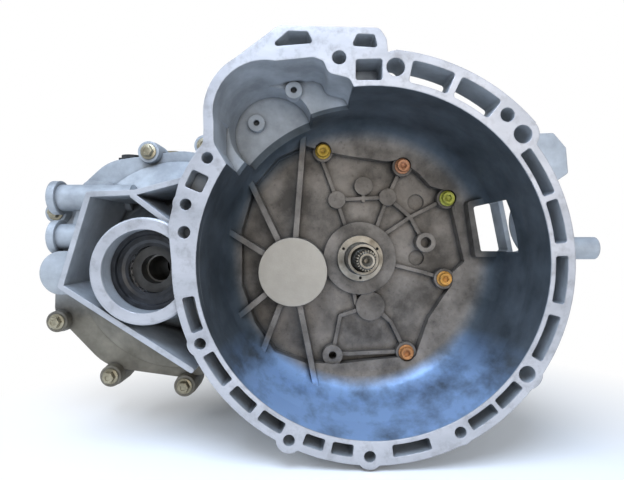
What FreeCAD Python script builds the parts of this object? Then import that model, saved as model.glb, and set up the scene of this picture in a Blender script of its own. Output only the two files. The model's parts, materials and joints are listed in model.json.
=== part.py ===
"""Manual transaxle: bell-shaped clutch housing, gear case, rear cover and the gear train that they carry.

Frame: origin on the input shaft's axis, in the engine face of the clutch housing. +Y runs along the
shafts, away from the engine, +X to the right seen from the engine, +Z up. Millimetres.
"""
import FreeCAD, Part
import math
import os

from FreeCAD import Vector

PARTS_FOLDER = "parts"

# ---------------------------------------------------------------- driving dimensions
# Shaft layout, seen along +Y
SHAFT_CENTRES = 76.5          # input shaft to output shaft
OUTPUT_BEARING_ANGLE = 190.8  # direction from the input shaft to the output shaft, degrees
FINAL_CENTRES = 130.5         # output shaft to differential
DIFF_ANGLE = 176.95           # direction from the output shaft to the differential, degrees

# Clutch housing
BELL_MOUTH_R = 156.8          # mouth of the bell at the engine face
RIM_R = 178.0                 # outside of the rim
UPPER_RIM_R = 189.3           # the rim is deeper over the top right
RIM_DEPTH = 36.0
BELL_REGISTER_Y = 42.0        # depth of the straight part of the wall
BELL_THROAT_R = 152.0         # the bell's inside, where the wall turns into the floor
BELL_WALL_END_Y = 84.0        # depth of the whole wall
BELL_WALL = 6.0
FLOOR_Y = 127.0               # bell floor between the ribs
SPLIT_Y = 138.0               # joint between clutch housing and gear case
FLANGE_T = 12.0               # thickness of each joint flange
POCKET_DEPTH = 33.0           # lightening pockets in the rim
POCKET_R_IN = 160.6
POCKET_R_OUT = 171.6
CAST_R = 3.0                  # usual corner radius of the castings

# Gear case and rear cover
CASE_WALL = 6.0
BACK_WALL_Y = 294.0           # front face of the wall that carries the rear bearings
BACK_WALL_T = 18.0
COVER_END_Y = 376.0
COVER_WALL = 5.0

# Gears
MODULE = 2.25
FINAL_MODULE = 3.0
PRESSURE_ANGLE = math.radians(25)
BACKLASH = 0.35
GEAR_W = 12.0

BACK_WALL_END_Y = BACK_WALL_Y + BACK_WALL_T


def polar(r, degrees, x=0.0, z=0.0):
    """Point (x, z) at radius r and angle from +X towards +Z."""
    a = math.radians(degrees)
    return (x + r * math.cos(a), z + r * math.sin(a))


INPUT = (0.0, 0.0)
OUTPUT = polar(SHAFT_CENTRES, OUTPUT_BEARING_ANGLE)
DIFF = polar(FINAL_CENTRES, DIFF_ANGLE, *OUTPUT)


# ---------------------------------------------------------------- solids from profiles
def vec(p, y=0.0):
    return Vector(p[0], y, p[1])


def rounded_wire(points, radius, y=0.0):
    """Closed wire in the XZ plane through the corner points, each corner rounded.

    A point may carry its own radius as a third value."""
    corners = []
    count = len(points)
    for i, here in enumerate(points):
        before, after = points[i - 1], points[(i + 1) % count]
        r = here[2] if len(here) > 2 else radius
        p, a, b = vec(here, y), vec(before, y), vec(after, y)
        to_a, to_b = (a - p), (b - p)
        room = 0.48 * min(to_a.Length, to_b.Length)
        to_a.normalize()
        to_b.normalize()
        half = to_a.getAngle(to_b) / 2
        if r <= 0.01 or abs(half - math.pi / 2) < 0.02:
            corners.append((p, None, p))
            continue
        run = min(r / math.tan(half), room)
        r = run * math.tan(half)
        middle = to_a + to_b
        middle.normalize()
        mid = p + middle * (r / math.sin(half) - r)
        corners.append((p + to_a * run, mid, p + to_b * run))
    edges = []
    for i, (start, mid, end) in enumerate(corners):
        if mid is not None:
            edges.append(Part.Arc(start, mid, end).toShape())
        following = corners[(i + 1) % count][0]
        if (following - end).Length > 1e-4:
            edges.append(Part.makeLine(end, following))
    return Part.Wire(edges)


def prism(points, y0, y1, radius=CAST_R):
    """Rounded polygon in the XZ plane, extruded along Y from y0 to y1."""
    return Part.Face(rounded_wire(points, radius, y0)).extrude(Vector(0, y1 - y0, 0))


def grown(points, margin, y0, y1):
    """Prism of a room's outline with its walls: the outline moved out by margin."""
    face = Part.Face(rounded_wire(points, CAST_R, y0)).makeOffset2D(margin)
    return face.extrude(Vector(0, y1 - y0, 0))


def disc(centre, r, y0, y1):
    """Cylinder along Y."""
    return Part.makeCylinder(r, y1 - y0, vec(centre, y0), Vector(0, 1, 0))


def taper(centre, r0, r1, y0, y1):
    """Cone frustum along Y, radius r0 at y0 and r1 at y1."""
    return Part.makeCone(r0, r1, y1 - y0, vec(centre, y0), Vector(0, 1, 0))


def turned(profile, centre=INPUT):
    """Solid of revolution about the Y axis through centre. profile is a list of (radius, y)."""
    points = [Vector(centre[0] + r, y, centre[1]) for r, y in profile]
    wire = Part.makePolygon(points + points[:1])
    return Part.Face(wire).revolve(vec(centre), Vector(0, 1, 0), 360)


def ring(centre, r_out, r_in, y0, y1):
    return disc(centre, r_out, y0, y1).cut(disc(centre, r_in, y0 - 1, y1 + 1))


def bar(p, q, width, y0, y1):
    """Straight rib of constant width between two points, with round ends."""
    p, q = Vector(p[0], 0, p[1]), Vector(q[0], 0, q[1])
    along = q - p
    along.normalize()
    side = Vector(-along.z, 0, along.x) * (width / 2)
    lift = Vector(0, y0, 0)
    a, b, c, d = p + side + lift, q + side + lift, q - side + lift, p - side + lift
    cap = along * (width / 2)
    edges = [
        Part.makeLine(a, b),
        Part.Arc(b, q + cap + lift, c).toShape(),
        Part.makeLine(c, d),
        Part.Arc(d, p - cap + lift, a).toShape(),
    ]
    return Part.Face(Part.Wire(edges)).extrude(Vector(0, y1 - y0, 0))


def sector(r_in, r_out, start, end, y0, y1, centre=INPUT, corner=0.0):
    """Part of a ring between two angles, its upright edges rounded by corner."""
    def at(r, a):
        return vec(polar(r, a, *centre), y0)
    middle = (start + end) / 2
    wire = Part.Wire([
        Part.Arc(at(r_out, start), at(r_out, middle), at(r_out, end)).toShape(),
        Part.makeLine(at(r_out, end), at(r_in, end)),
        Part.Arc(at(r_in, end), at(r_in, middle), at(r_in, start)).toShape(),
        Part.makeLine(at(r_in, start), at(r_out, start)),
    ])
    solid = Part.Face(wire).extrude(Vector(0, y1 - y0, 0))
    if corner > 0:
        upright = [e for e in solid.Edges if len(e.Vertexes) == 2
                   and abs(abs(e.Vertexes[0].Y - e.Vertexes[1].Y) - (y1 - y0)) < 1e-6]
        solid = solid.makeFillet(corner, upright)
    return solid


def fused(solids):
    first, *rest = solids
    return first.multiFuse(rest) if rest else first


def without(solid, tools):
    return solid.cut(tools)


# ---------------------------------------------------------------- the clutch housing
# Holes through the rim, (x, z, radius): bolts to the engine block
BELL_BOLT_HOLES = {
    "upper_left": (-146.5, 93.0, 5.2),
    "left": (-165.6, 52.1, 5.2),
    "top": (-30.3, 181.5, 6.3),
    "upper_right": (117.9, 131.0, 6.3),
    "lower_right": (76.6, -148.8, 5.2),
    "bottom": (-3.3, -170.2, 5.2),
    "lower_left": (-74.6, -155.8, 5.2),
    "left_low": (-152.9, -70.8, 5.2),
}
# Larger holes that take the locating dowels and the starter bolts
DOWEL_HOLES = {
    "dowel_top": (19.5, 173.0, 8.2),
    "dowel_right": (131.6, 113.9, 8.2),
    "dowel_low": (135.3, -97.5, 7.4),
}
BLIND_HOLE = (-167.0, 27.5, 5.6)

# Lightening pockets in the rim, as (start, end) in degrees round the bell
RIM_POCKETS = [
    (-12.2, 2.3), (6.2, 19.6), (21.4, 36.6), (-30.4, -16.0), (-48.6, -39.8), (-59.2, -49.9),
    (-84.2, -72.4), (-102.8, -96.2), (-111.6, -105.2), (-126.9, -118.6), (-138.2, -129.4),
    (-151.4, -140.6), (-169.8, -158.8),
]
UPPER_POCKETS = [(66.6, 79.0), (51.8, 64.6)]
UPPER_POCKET_R = (162.5, 182.5)

# Pockets in the flange of the starter tower, each an outline and its depth
TOWER_POCKETS = [
    ([(-92.0, 190.8), (-75.5, 205.0), (-58.0, 204.6), (-53.0, 194.0)], 37.0),
    ([(-19.5, 191.5), (-14.5, 202.5), (0.8, 202.0), (4.0, 190.0)], 37.0),
    ([(-15.8, 161.5), (-15.8, 180.0), (7.8, 180.6), (7.8, 161.5)], 30.0),
    ([(-159.5, 83.2), (-144.6, 76.2), (-151.6, 61.8), (-167.0, 68.0)], 20.0),
]

# Threaded bosses on the floor of the starter tower: x, z, face, radius
TOWER_BOSSES = [(-72.6, 171.0, 55.0, 8.6), (-113.5, 145.5, 84.0, 9.0)]
TOWER_BOSS_BORE_R = 3.2

# Lugs on the right outside the bell
STUB = (13.0, 30.0)           # z and y of the stub's axis
STUB_R = 10.5
STUB_END_X = 212.0
SIDE_LUG = [(116.0, 120.0), (174.0, 122.0), (186.0, 108.0), (188.0, 84.0), (168.0, 70.0), (142.0, 70.0)]

# Starter tower, left of the top
STARTER = (-95.7, 133.3)
STARTER_POCKET_R = 46.0
STARTER_WALL_R = 54.5
STARTER_FLOOR_Y = 92.0
THROAT_FLOOR_Y = 62.0         # floor of the passage between starter and bell
THROAT = [(-53.0, 182.0, 6), (-44.0, 178.5, 6), (-40.0, 168.0, 8), (-21.0, 163.5, 8), (-10.0, 140.0, 0),
          (-60.0, 100.0, 0), (-124.0, 78.0, 0), (-141.0, 106.0, 12), (-141.0, 133.3, 0), (-101.0, 177.0, 20)]

FLOOR_T = 7.0
RAIL = (-90.0, 62.0)          # shift rail
RAIL_R = 7.0
REVERSE = (-10.4, -40.4)      # reverse idler
REVERSE_PIN_R = 8.0
BOSS_FACE_Y = 116.0
DISC_FACE_Y = 94.0
DISC_R = 38.4
INPUT_BOSS_R = 41.2
BEARING_R = 31.0
BEARING_W = 17.0
DIFF_FACE_Y = 6.0
DIFF_NECK_R = 48.5
SEAL_SEAT_R = 37.7
DIFF_BEARING_R = 34.0
DIFF_BEARING_Y = 48.0
DIFF_BEARING_W = 18.0
CARRIER_ROOM_R = 46.0
RING_ROOM_R = 114.0

# Bolts that are reached from inside the bell, and the plain boss, (x, z)
INNER_BOLTS = [(-41.9, 121.0), (48.3, 104.4), (99.0, 67.8), (95.8, -23.3), (52.5, -106.7)]
PLAIN_BOSS = (-30.9, -110.3)
INNER_BOLT_BOSS_R = 11.5
INNER_BOLT_R = 4.0

# Outline of the sunk plate in the bell's floor
FLOOR_PLATE = [
    (-62.0, 126.0), (-30.0, 119.0), (-11.8, 115.6), (31.7, 109.7), (45.0, 112.0), (67.0, 95.5),
    (80.0, 81.7), (105.0, 74.0), (107.0, 54.5), (119.0, -3.0), (104.0, -17.0), (104.0, -30.0),
    (78.0, -68.0), (62.0, -112.0), (44.0, -112.0), (-22.0, -119.0), (-60.0, -118.0),
    (-96.0, -104.0), (-118.0, -72.0), (-133.0, -30.0), (-133.0, 32.0), (-118.0, 82.0), (-92.0, 112.0),
]

# Joint flange between the two castings
LUGS = [(-344.0, -72.0), (-283.0, -134.0), (-199.0, -145.0), (-110.0, -126.0), (-240.0, 121.0),
        (-176.0, 128.0), (-345.0, 52.0)]
LUG_R = 13.0
LUG_L = 22.0                  # each lug's length, from the joint
LUG_BOLT_R = 4.2
JOINT_OUTLINE = [
    (-205.0, 124.0, 60.0), (-120.0, 112.0, 30.0), (-60.0, 136.0, 16.0), (-24.0, 134.0, 16.0),
    (56.0, 120.0, 20.0), (114.0, 78.0, 16.0), (112.0, -32.0, 20.0), (62.0, -121.0, 16.0),
    (-96.0, -124.0, 30.0), (-205.0, -138.0, 60.0), (-292.0, -126.0, 60.0), (-352.0, -64.0, 20.0),
    (-348.0, 58.0, 40.0), (-290.0, 112.0, 50.0),
]


def rim_outline():
    """Everything that reaches the engine face, as one solid RIM_DEPTH deep."""
    tower = [
        (-150.2, 133.3, 0), (-149.8, 118.0, 8), (-150.5, 106.0, 8), (-162.0, 90.0, 6),
        (-171.5, 72.0, 10), (-181.0, 34.0, 14), (-178.0, 0.0, 0), (-60.0, 0.0, 0),
        (20.0, 150.0, 0), (12.5, 187.0, 4), (11.5, 198.0, 8), (5.0, 207.5, 6), (-84.0, 209.6, 6),
        (-134.2, 171.9, 0),
    ]
    solids = [
        disc(INPUT, RIM_R, 0, RIM_DEPTH),
        sector(120, UPPER_RIM_R, 41, 84, 0, RIM_DEPTH),
        prism(tower, 0, RIM_DEPTH),
        disc(STARTER, STARTER_WALL_R, 0, STARTER_FLOOR_Y + BELL_WALL),
        grown(THROAT, BELL_WALL, 0, THROAT_FLOOR_Y + BELL_WALL),
    ]
    for x, z, r in list(BELL_BOLT_HOLES.values()) + list(DOWEL_HOLES.values()):
        solids.append(disc((x, z), r + 6.4, 0, RIM_DEPTH))
    solids.append(prism(SIDE_LUG, RIM_DEPTH - 6, RIM_DEPTH + 22))
    solids.append(Part.makeCylinder(STUB_R, STUB_END_X - 166, Vector(166, STUB[1], STUB[0]), Vector(1, 0, 0)))
    return fused(solids)


def bell_outside():
    """The bell's outer skin behind the rim, down to the joint flange."""
    step = RIM_R - 13
    return turned([(0, 1), (step, 1), (step, RIM_DEPTH + 8), (BELL_MOUTH_R + BELL_WALL, RIM_DEPTH + 14),
                   (BELL_THROAT_R + BELL_WALL, 92), (BELL_THROAT_R + 1, 110), (134, 124),
                   (118, SPLIT_Y), (0, SPLIT_Y)])


def bell_skin():
    """What has to stay solid between the bell and the ring gear's room."""
    return turned([(0, 1), (BELL_MOUTH_R + 4, 1), (BELL_MOUTH_R + 4, BELL_REGISTER_Y), (BELL_THROAT_R + 4, 92),
                   (149, 110), (140, 122), (139, FLOOR_Y + 5), (0, FLOOR_Y + 5)])


def bell_inside():
    """The space for flywheel and clutch: a cylinder, a slight taper, then a dished floor."""
    dish = Part.Arc(Vector(BELL_THROAT_R, BELL_WALL_END_Y, 0), Vector(BELL_THROAT_R - 7.5, 103, 0),
                    Vector(126, 113, 0))
    edges = [
        Part.makeLine(Vector(0, -1, 0), Vector(BELL_MOUTH_R, -1, 0)),
        Part.makeLine(Vector(BELL_MOUTH_R, -1, 0), Vector(BELL_MOUTH_R, BELL_REGISTER_Y, 0)),
        Part.makeLine(Vector(BELL_MOUTH_R, BELL_REGISTER_Y, 0), Vector(BELL_THROAT_R, BELL_WALL_END_Y, 0)),
        dish.toShape(),
        Part.makeLine(Vector(126, 113, 0), Vector(84, 118, 0)),
        Part.makeLine(Vector(84, 118, 0), Vector(0, 118, 0)),
        Part.makeLine(Vector(0, 118, 0), Vector(0, -1, 0)),
    ]
    return Part.Face(Part.Wire(edges)).revolve(Vector(0, 0, 0), Vector(0, 1, 0), 360)


def starter_inside():
    """Pocket beside the ring gear of the flywheel, open towards the engine."""
    pocket = taper(STARTER, STARTER_POCKET_R + 0.2, STARTER_POCKET_R - 4.5, -1, STARTER_FLOOR_Y)
    return [pocket, prism(THROAT, -1, THROAT_FLOOR_Y)]


def diff_housing_outside():
    """Neck and cone round the differential, and the walls that box it in."""
    cone = turned([(0, DIFF_FACE_Y), (DIFF_NECK_R - 1.5, DIFF_FACE_Y), (DIFF_NECK_R, DIFF_FACE_Y + 1.5),
                   (DIFF_NECK_R, 26), (53, 60), (72, 96), (118, 122), (122, SPLIT_Y), (0, SPLIT_Y)], DIFF)
    return cone


FRAME_TOP_Y = 12.0
FRAME = [(-171.0, 75.5), (-214.7, 64.0), (-257.3, 62.3), (-282.7, -21.5), (-164.0, -97.5)]
FRAME_FORK = [(-217.0, 61.0), (-184.0, 36.0)]
FRAME_WALL = 5.0


def frame_walls():
    walls = []
    for start, end in zip(FRAME[:-1], FRAME[1:]):
        walls.append(bar(start, end, FRAME_WALL, FRAME_TOP_Y, SPLIT_Y - 6))
    walls.append(bar(*FRAME_FORK, FRAME_WALL, FRAME_TOP_Y, SPLIT_Y - 40))
    return walls


# Gearbox mounting bosses on the left wall, seat faces looking along -X
MOUNT_BOSS_Y = 100.0
MOUNT_BOSSES_Z = (67.0, 24.0)
MOUNT_FACE_X = -337.0
MOUNT_HOLE_R = 5.1
MOUNT_HOLE_DEPTH = 26.0


def mount_bosses():
    bosses = []
    left = Vector(-1, 0, 0)
    for z in MOUNT_BOSSES_Z:
        root = Vector(-250, MOUNT_BOSS_Y, z)
        bosses.append(Part.makeCylinder(14.5, -250 - MOUNT_FACE_X - 4, root, left))
        seat = Vector(MOUNT_FACE_X + 8, MOUNT_BOSS_Y, z)
        bosses.append(Part.makeCylinder(18.5, 8, seat, left))
    wall = prism([(-262, 60, 2), (-272, 84, 4), (-304, 86, 10), (-312, 50, 10), (-326, 10, 10), (-322, -30, 14),
                  (-284, -24, 2)], MOUNT_BOSS_Y - 4, MOUNT_BOSS_Y + 26)
    corner = disc((-318, -14), 23, MOUNT_BOSS_Y - 22, SPLIT_Y)
    return bosses + [wall, corner]


def mount_holes():
    holes = []
    for z in MOUNT_BOSSES_Z:
        mouth = Vector(MOUNT_FACE_X - 1, MOUNT_BOSS_Y, z)
        holes.append(Part.makeCylinder(MOUNT_HOLE_R, MOUNT_HOLE_DEPTH + 1, mouth, Vector(1, 0, 0)))
    return holes


def joint_flange(y0, y1):
    solids = [prism(JOINT_OUTLINE, y0, y1)]
    for lug in LUGS:
        solids.append(disc(lug, LUG_R, y0, y1))
    return fused(solids)


def lug_columns(y0, y1):
    """Bolt columns that run back from the joint flange."""
    return [taper(lug, LUG_R - 1.0, LUG_R, y0, y1) for lug in LUGS]


SPOKE_ENDS = [(-63.4, 137.5), (-128.5, 98.0), (-152.0, 34.0), (-150.0, -76.0), (-114.0, -116.0), (-50.0, -140.0)]
SPOKE_W = 6.2

FLOOR_RIBS = [
    ((-26.0, 66.7), (-16.5, 37.8)), ((-26.0, 66.7), (32.3, 69.7)), ((-26.0, 66.7), (-41.9, 110.0)),
    ((4.6, 82.6), (4.6, 66.0)), ((32.3, 69.7), (48.3, 104.4)), ((32.3, 69.7), (20.0, 36.0)),
    ((32.3, 69.7), (58.0, 47.0)), ((58.0, 47.0), (99.0, 67.8)), ((58.0, 47.0), (30.0, 28.3)),
    ((58.0, 47.0), (74.0, 18.0)), ((40.5, -8.0), (72.0, -16.0)), ((72.0, -16.0), (95.8, -23.3)),
    ((36.0, -73.0), (24.5, -62.0)), ((36.0, -73.0), (52.5, -106.7)), ((20.0, -60.0), (36.0, -73.0)),
    ((-4.0, -52.0), (-6.0, -41.0)), ((-22.0, -66.0), (-30.9, -110.3)), ((-22.0, -66.0), (-4.0, -60.0)),
    ((52.5, -106.7), (-30.9, -110.3)),
]
FLOOR_PADS = [(4.6, 82.6, 10.6), (32.3, 69.7, 10.0), (-26.0, 66.7, 10.0)]
LOWER_PAD = (12.3, -54.7, 16.5)
ROUND_RECESSES = [(65.9, 64.4, 9.2), (66.4, 0.0, 8.8)]
POST = (74.2, 17.9)

# Window for the release fork, through the bell's right side
WINDOW = [(122.5, 57.0), (149.5, 63.0), (160.5, 8.0), (131.0, 8.0)]
WINDOW_FRAME = [(116.0, 63.0), (153.0, 71.0), (167.0, 2.0), (125.0, 2.0)]


def floor_details():
    """Ribs, pads and bosses on the bell's floor."""
    solids = [
        disc(INPUT, INPUT_BOSS_R, BOSS_FACE_Y, SPLIT_Y),
        disc(OUTPUT, DISC_R - 1, DISC_FACE_Y, SPLIT_Y),
        taper(OUTPUT, DISC_R - 1, DISC_R + 1.5, DISC_FACE_Y + 0.4, SPLIT_Y),
        disc(LOWER_PAD[:2], LOWER_PAD[2], 118, FLOOR_Y + 4),
    ]
    for end in SPOKE_ENDS:
        solids.append(bar(OUTPUT, end, SPOKE_W, 99, FLOOR_Y + 4))
    for start, end in FLOOR_RIBS:
        solids.append(bar(start, end, 4.2, 120, FLOOR_Y + 4))
    for x, z, face, r in TOWER_BOSSES:
        solids.append(disc((x, z), r, face, face + 12))
    for x, z, r in FLOOR_PADS:
        solids.append(disc((x, z), r, 119, FLOOR_Y + 4))
    for x, z in INNER_BOLTS + [PLAIN_BOSS]:
        solids.append(disc((x, z), INNER_BOLT_BOSS_R, BOSS_FACE_Y, SPLIT_Y))
    solids.append(disc(POST, 11.0, 112, FLOOR_Y + 4))
    solids.append(bar((106.5, 57.0), (120.0, -1.0), 5.0, 114, FLOOR_Y + 4))
    return solids


def clutch_housing():
    outside = fused([rim_outline(), bell_outside(), diff_housing_outside(), joint_flange(SPLIT_Y - FLANGE_T, SPLIT_Y)]
                    + frame_walls() + mount_bosses() + lug_columns(SPLIT_Y - LUG_L, SPLIT_Y - FLANGE_T + 1))
    diff_room = turned([(0, DIFF_BEARING_Y + DIFF_BEARING_W - 0.01), (CARRIER_ROOM_R, DIFF_BEARING_Y + DIFF_BEARING_W),
                        (CARRIER_ROOM_R, 96), (66, 103), (RING_ROOM_R, 130), (RING_ROOM_R, SPLIT_Y + 1),
                        (0, SPLIT_Y + 1)], DIFF)
    diff_room = diff_room.cut(bell_skin())
    gear_room = prism([(-126, 62, 30), (-60, 92, 30), (30, 84, 30), (76, 50, 30), (78, -40, 30), (40, -84, 30),
                       (-60, -96, 40), (-126, -80, 30)], FLOOR_Y + FLOOR_T, SPLIT_Y + 1)
    casting = outside
    for room in [bell_inside()] + starter_inside():
        casting = casting.cut(room)
    casting = without(casting, [prism(FLOOR_PLATE, 100, FLOOR_Y, 5.0), diff_room, gear_room])
    window_frame = prism(WINDOW_FRAME, 98, 122, 3.0)
    casting = fused([casting, window_frame] + floor_details())
    cuts = [
        prism(WINDOW, 60, SPLIT_Y + 1, 2.5),
        disc(INPUT, 17.0, 90, SPLIT_Y + 1),
        disc(INPUT, BEARING_R, SPLIT_Y - BEARING_W, SPLIT_Y + 1),
        disc(OUTPUT, BEARING_R, DISC_FACE_Y + 7, SPLIT_Y + 1),
        disc(DIFF, SEAL_SEAT_R, DIFF_FACE_Y - 1, 34),
        disc(DIFF, DIFF_BEARING_R - 4, 30, DIFF_BEARING_Y + 1),
        disc(DIFF, DIFF_BEARING_R, DIFF_BEARING_Y, DIFF_BEARING_Y + DIFF_BEARING_W + 1),
        disc(BLIND_HOLE[:2], BLIND_HOLE[2], -1, 22),
        disc(POST, 6.0, 108, 124),
        disc(DIFF, RING_ROOM_R - 2, FLOOR_Y + 5, SPLIT_Y + 1),
        disc(RAIL, RAIL_R, FLOOR_Y + 2, SPLIT_Y + 1),
        disc(REVERSE, REVERSE_PIN_R, FLOOR_Y + 2, SPLIT_Y + 1),
    ]
    for x, z, r in list(BELL_BOLT_HOLES.values()) + list(DOWEL_HOLES.values()):
        cuts.append(disc((x, z), r, -1, RIM_DEPTH + 40))
    for start, end in RIM_POCKETS:
        cuts.append(sector(POCKET_R_IN, POCKET_R_OUT, start, end, -1, POCKET_DEPTH, corner=2.2))
    for outline, depth in TOWER_POCKETS:
        cuts.append(prism(outline, -1, depth, 2.5))
    for x, z, face, _ in TOWER_BOSSES:
        cuts.append(disc((x, z), TOWER_BOSS_BORE_R, face - 1, face + 9))
    for start, end in UPPER_POCKETS:
        cuts.append(sector(*UPPER_POCKET_R, start, end, -1, RIM_DEPTH + 1, corner=3.0))
    for x, z in INNER_BOLTS + [PLAIN_BOSS]:
        cuts.append(disc((x, z), INNER_BOLT_R + 0.4, BOSS_FACE_Y - 1, SPLIT_Y + 1))
        cuts.append(disc((x, z), 9.4, BOSS_FACE_Y - 14, BOSS_FACE_Y))
    for x, z, r in ROUND_RECESSES:
        cuts.append(disc((x, z), r, 118, FLOOR_Y + 3))
    for x, z in LUGS:
        cuts.append(disc((x, z), LUG_BOLT_R + 0.4, SPLIT_Y - 40, SPLIT_Y + 1))
        cuts.append(disc((x, z), 9.8, SPLIT_Y - LUG_L - 12, SPLIT_Y - LUG_L))
    casting = without(casting, cuts + mount_holes())
    return casting


# ---------------------------------------------------------------- the gear case and the rear cover
CASE_ROOM = [(48, 52, 24), (10, 60, 20), (-60, 77, 10), (-112, 77, 20), (-145, 50, 30), (-145, -84, 50),
             (-6, -84, 30), (48, -46, 30)]
COVER_ROOM = [(54, 46, 30), (0, 60, 20), (-60, 79, 10), (-108, 79, 18), (-124, 40, 20), (-124, -62, 30),
              (-10, -62, 30), (54, -50, 30)]
DOME_END_Y = 186.0
REAR_BEARING_Y = 196.0
REAR_FACE_Y = 232.0
SELECTOR = (-60.0, 221.0)     # x and y of the selector shaft, which stands upright
SELECTOR_R = 8.0
SELECTOR_BOSS_TOP = 112.0
COVER_LUGS = [(69, 10), (44, 66), (-30, 86), (-122, 84), (-140, 14), (-128, -62), (-70, -78), (20, -70), (66, -44)]
DRAIN = (-160.0, 162.0)       # x and y, on the case's underside
DRAIN_Z = -134.0
FILLER = (176.0, -14.0)       # y and z, on the case's right side


def gear_case():
    outer = [
        joint_flange(SPLIT_Y, SPLIT_Y + FLANGE_T),
        grown(CASE_ROOM, CASE_WALL, SPLIT_Y, BACK_WALL_END_Y),
        grown(COVER_ROOM, CASE_WALL + 5, BACK_WALL_END_Y - FLANGE_T, BACK_WALL_END_Y),
        turned([(0, SPLIT_Y), (RING_ROOM_R + 7, SPLIT_Y), (RING_ROOM_R + 5, 164), (66, DOME_END_Y), (52, 200),
                (48, REAR_FACE_Y - 1), (47, REAR_FACE_Y), (0, REAR_FACE_Y)], DIFF),
        Part.makeCylinder(18, SELECTOR_BOSS_TOP - 70, Vector(*SELECTOR, 70)),
        prism([(-100, 78, 4), (-92, 94, 6), (-30, 94, 6), (-20, 70, 4)], SELECTOR[1] - 30, SELECTOR[1] + 30),
        Part.makeCylinder(15, 40, Vector(*DRAIN, DRAIN_Z)),
        Part.makeCylinder(15, 16, Vector(42, *FILLER), Vector(1, 0, 0)),
    ]
    for x, z in LUGS:
        outer.append(taper((x, z), LUG_R, LUG_R - 1.0, SPLIT_Y + FLANGE_T - 1, SPLIT_Y + LUG_L))
    for at in INNER_BOLTS:
        outer.append(disc(at, INNER_BOLT_BOSS_R, SPLIT_Y, SPLIT_Y + LUG_L))
    for x, z in COVER_LUGS:
        outer.append(disc((x, z), 10, BACK_WALL_END_Y - 30, BACK_WALL_END_Y))
    for angle in (150, 185, 215, 245):
        outer.append(bar(polar(50, angle, *DIFF), polar(112, angle, *DIFF), 5, SPLIT_Y + 4, SPLIT_Y + 40))
    for z in (-40, -5, 30):
        outer.append(bar((-146, z), (-156, z), 5, SPLIT_Y, BACK_WALL_END_Y - 2))
    for x in (-110, -70, -30):
        outer.append(bar((x, -84), (x, -96), 5, SPLIT_Y, BACK_WALL_END_Y - 2))
    rooms = [
        prism(CASE_ROOM, SPLIT_Y - 1, BACK_WALL_Y),
        turned([(0, SPLIT_Y - 1), (RING_ROOM_R, SPLIT_Y - 1), (RING_ROOM_R - 1, 163), (60, DOME_END_Y - 7),
                (CARRIER_ROOM_R, DOME_END_Y - 4), (CARRIER_ROOM_R, REAR_BEARING_Y), (0, REAR_BEARING_Y)], DIFF),
        prism([(-86, 60, 4), (-86, 88, 6), (-36, 88, 6), (-36, 60, 4)], SELECTOR[1] - 24, SELECTOR[1] + 24),
    ]
    casting = fused(outer)
    for room in rooms:
        casting = casting.cut(room)
    cuts = [
        disc(INPUT, BEARING_R, BACK_WALL_Y - 1, BACK_WALL_END_Y + 1),
        disc(OUTPUT, BEARING_R, BACK_WALL_Y - 1, BACK_WALL_END_Y + 1),
        disc(RAIL, RAIL_R, BACK_WALL_Y - 1, BACK_WALL_END_Y + 1),
        disc(DIFF, DIFF_BEARING_R, REAR_BEARING_Y - 1, REAR_BEARING_Y + DIFF_BEARING_W),
        disc(DIFF, DIFF_BEARING_R - 4, REAR_BEARING_Y, REAR_FACE_Y),
        disc(DIFF, SEAL_SEAT_R, REAR_FACE_Y - 14, REAR_FACE_Y + 1),
        Part.makeCylinder(SELECTOR_R + 0.05, 60, Vector(*SELECTOR, 70)),
        Part.makeCylinder(13, 8, Vector(*SELECTOR, SELECTOR_BOSS_TOP - 7)),
        Part.makeCylinder(9, 46, Vector(*DRAIN, DRAIN_Z - 1)),
        Part.makeCylinder(9, 40, Vector(36, *FILLER), Vector(1, 0, 0)),
    ]
    for x, z in LUGS:
        cuts.append(disc((x, z), LUG_BOLT_R, SPLIT_Y - 1, SPLIT_Y + LUG_L - 3))
    for at in INNER_BOLTS:
        cuts.append(disc(at, INNER_BOLT_R, SPLIT_Y - 1, SPLIT_Y + LUG_L - 3))
    for x, z in COVER_LUGS:
        cuts.append(disc((x, z), 3.2, BACK_WALL_END_Y - 22, BACK_WALL_END_Y + 1))
    return without(casting, cuts)


def rear_cover():
    outer = [
        grown(COVER_ROOM, CASE_WALL + 5, BACK_WALL_END_Y, BACK_WALL_END_Y + 8),
        grown(COVER_ROOM, COVER_WALL, BACK_WALL_END_Y, COVER_END_Y - 8),
        grown(COVER_ROOM, COVER_WALL - 4, COVER_END_Y - 9, COVER_END_Y),
        disc(INPUT, 34, COVER_END_Y - 4, COVER_END_Y + 3),
        disc(OUTPUT, 38, COVER_END_Y - 4, COVER_END_Y + 3),
    ]
    for x, z in COVER_LUGS:
        outer.append(disc((x, z), 10, BACK_WALL_END_Y, BACK_WALL_END_Y + 10))
    casting = fused(outer).cut(prism(COVER_ROOM, BACK_WALL_END_Y - 1, COVER_END_Y - COVER_WALL))
    cuts = [disc((x, z), 3.4, BACK_WALL_END_Y - 1, BACK_WALL_END_Y + 11) for x, z in COVER_LUGS]
    return without(casting, cuts)


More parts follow.
